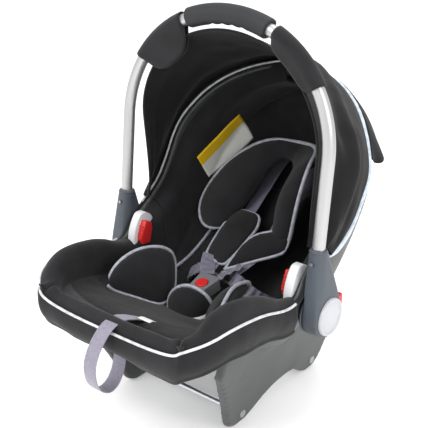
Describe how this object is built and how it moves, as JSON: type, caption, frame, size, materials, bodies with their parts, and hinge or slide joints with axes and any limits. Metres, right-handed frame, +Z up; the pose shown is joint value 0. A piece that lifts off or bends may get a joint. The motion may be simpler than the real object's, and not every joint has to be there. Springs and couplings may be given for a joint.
{
  "type": "infant car seat",
  "caption": "Rear-facing infant car seat: padded bucket on skids, arched aluminium handle with soft grip, black fabric hood, padded harness with red-button buckle.",
  "frame": {"origin": "on the floor, under the middle of the seat without its loose pull strap", "axes": "+X to the right-hand side of a child sitting in it reversed: the viewer's right when the seat is seen from its front, -Y the front (foot end), +Y the head end, +Z up"},
  "size_m": [0.452, 0.6181, 0.6481],
  "materials": {
    "shell_plastic": "fine grain",
    "steel": "satin",
    "foam": "beaded foam",
    "cover_fabric": "woven, matte",
    "binding_fabric": "smooth tape",
    "dark_plastic": "fine grain",
    "white_plastic": "satin",
    "red_plastic": "satin",
    "aluminium": "satin anodised",
    "grip_rubber": "soft touch",
    "leg_plastic": "fine grain",
    "webbing": "ribbed webbing",
    "grey_plastic": "satin",
    "label_fabric": "printed cloth, no lettering"
  },
  "bodies": {
    "seat": {"seat_shell": "shell_plastic", "skid_left": "shell_plastic", "skid_right": "shell_plastic", "cross_bar_front": "steel", "cross_bar_rear": "steel", "bar_screws": "steel", "foam_liner": "foam", "seat_pad": "cover_fabric", "back_pad": "cover_fabric", "front_skirt": "cover_fabric", "rim_binding": "binding_fabric", "hub_housing_left": "dark_plastic", "hub_housing_right": "dark_plastic", "pivot_pin_left": "steel", "pivot_pin_right": "steel", "lever_bezel_left": "white_plastic", "lever_bezel_right": "white_plastic", "canopy": "cover_fabric", "canopy_tail": "cover_fabric", "head_hugger": "cover_fabric", "body_insert": "cover_fabric", "hip_bolster_left": "cover_fabric", "hip_bolster_right": "cover_fabric", "shoulder_strap_left": "webbing", "shoulder_strap_right": "webbing", "shoulder_pad_left": "cover_fabric", "shoulder_pad_right": "cover_fabric", "hip_strap_left": "webbing", "hip_strap_right": "webbing", "tongue_left": "steel", "tongue_right": "steel", "crotch_strap": "webbing", "crotch_pad": "cover_fabric", "buckle_body": "grey_plastic", "buckle_spring": "steel", "harness_yoke": "steel", "yoke_strap": "webbing", "adjuster_housing": "grey_plastic", "adjuster_strap": "webbing", "care_label": "label_fabric", "pull_tag": "label_fabric"},
    "handle": {"handle_tube": "aluminium", "handle_grip": "grip_rubber", "handle_leg_left": "leg_plastic", "handle_leg_right": "leg_plastic", "hub_cap_left": "white_plastic", "hub_cap_right": "white_plastic", "leg_rivets": "steel", "canopy_tab_left": "cover_fabric", "canopy_tab_right": "cover_fabric"},
    "release_lever_left": {"release_lever_left": "red_plastic"},
    "release_lever_right": {"release_lever_right": "red_plastic"},
    "lock_button_left": {"lock_button_left": "red_plastic"},
    "lock_button_right": {"lock_button_right": "red_plastic"},
    "buckle_button": {"buckle_button": "red_plastic"},
    "adjuster_lever": {"adjuster_lever": "steel"}
  },
  "joints": [
    {"name": "handle_swing", "type": "hinge", "parent": "seat", "child": "handle", "pos_m": [0, -0.0204, 0.196], "axis": [-1, 0, 0], "range_deg": [0, 95], "deforming": ["canopy"]},
    {"name": "release_left", "type": "slide", "parent": "seat", "child": "release_lever_left", "axis": [0, 0.9272, -0.3746], "range_m": [0, 0.006], "stiffness_N_per_m": 1200, "springref_m": -0.003},
    {"name": "lock_left", "type": "slide", "parent": "handle", "child": "lock_button_left", "axis": [0, -1, 0], "range_m": [0, 0.005], "stiffness_N_per_m": 1200, "springref_m": -0.003},
    {"name": "release_right", "type": "slide", "parent": "seat", "child": "release_lever_right", "axis": [0, 0.9272, -0.3746], "range_m": [0, 0.006], "stiffness_N_per_m": 1200, "springref_m": -0.003},
    {"name": "lock_right", "type": "slide", "parent": "handle", "child": "lock_button_right", "axis": [0, -1, 0], "range_m": [0, 0.005], "stiffness_N_per_m": 1200, "springref_m": -0.003},
    {"name": "buckle_press", "type": "slide", "parent": "seat", "child": "buckle_button", "axis": [0, 0.2079, -0.9781], "range_m": [0, 0.004], "stiffness_N_per_m": 900, "springref_m": -0.003},
    {"name": "adjuster_lift", "type": "hinge", "parent": "seat", "child": "adjuster_lever", "pos_m": [0, -0.19361, 0.17294], "axis": [-1, 0, 0], "range_deg": [0, 15], "stiffness_Nm_per_rad": 0.3, "springref_deg": -17.19}
  ]
}
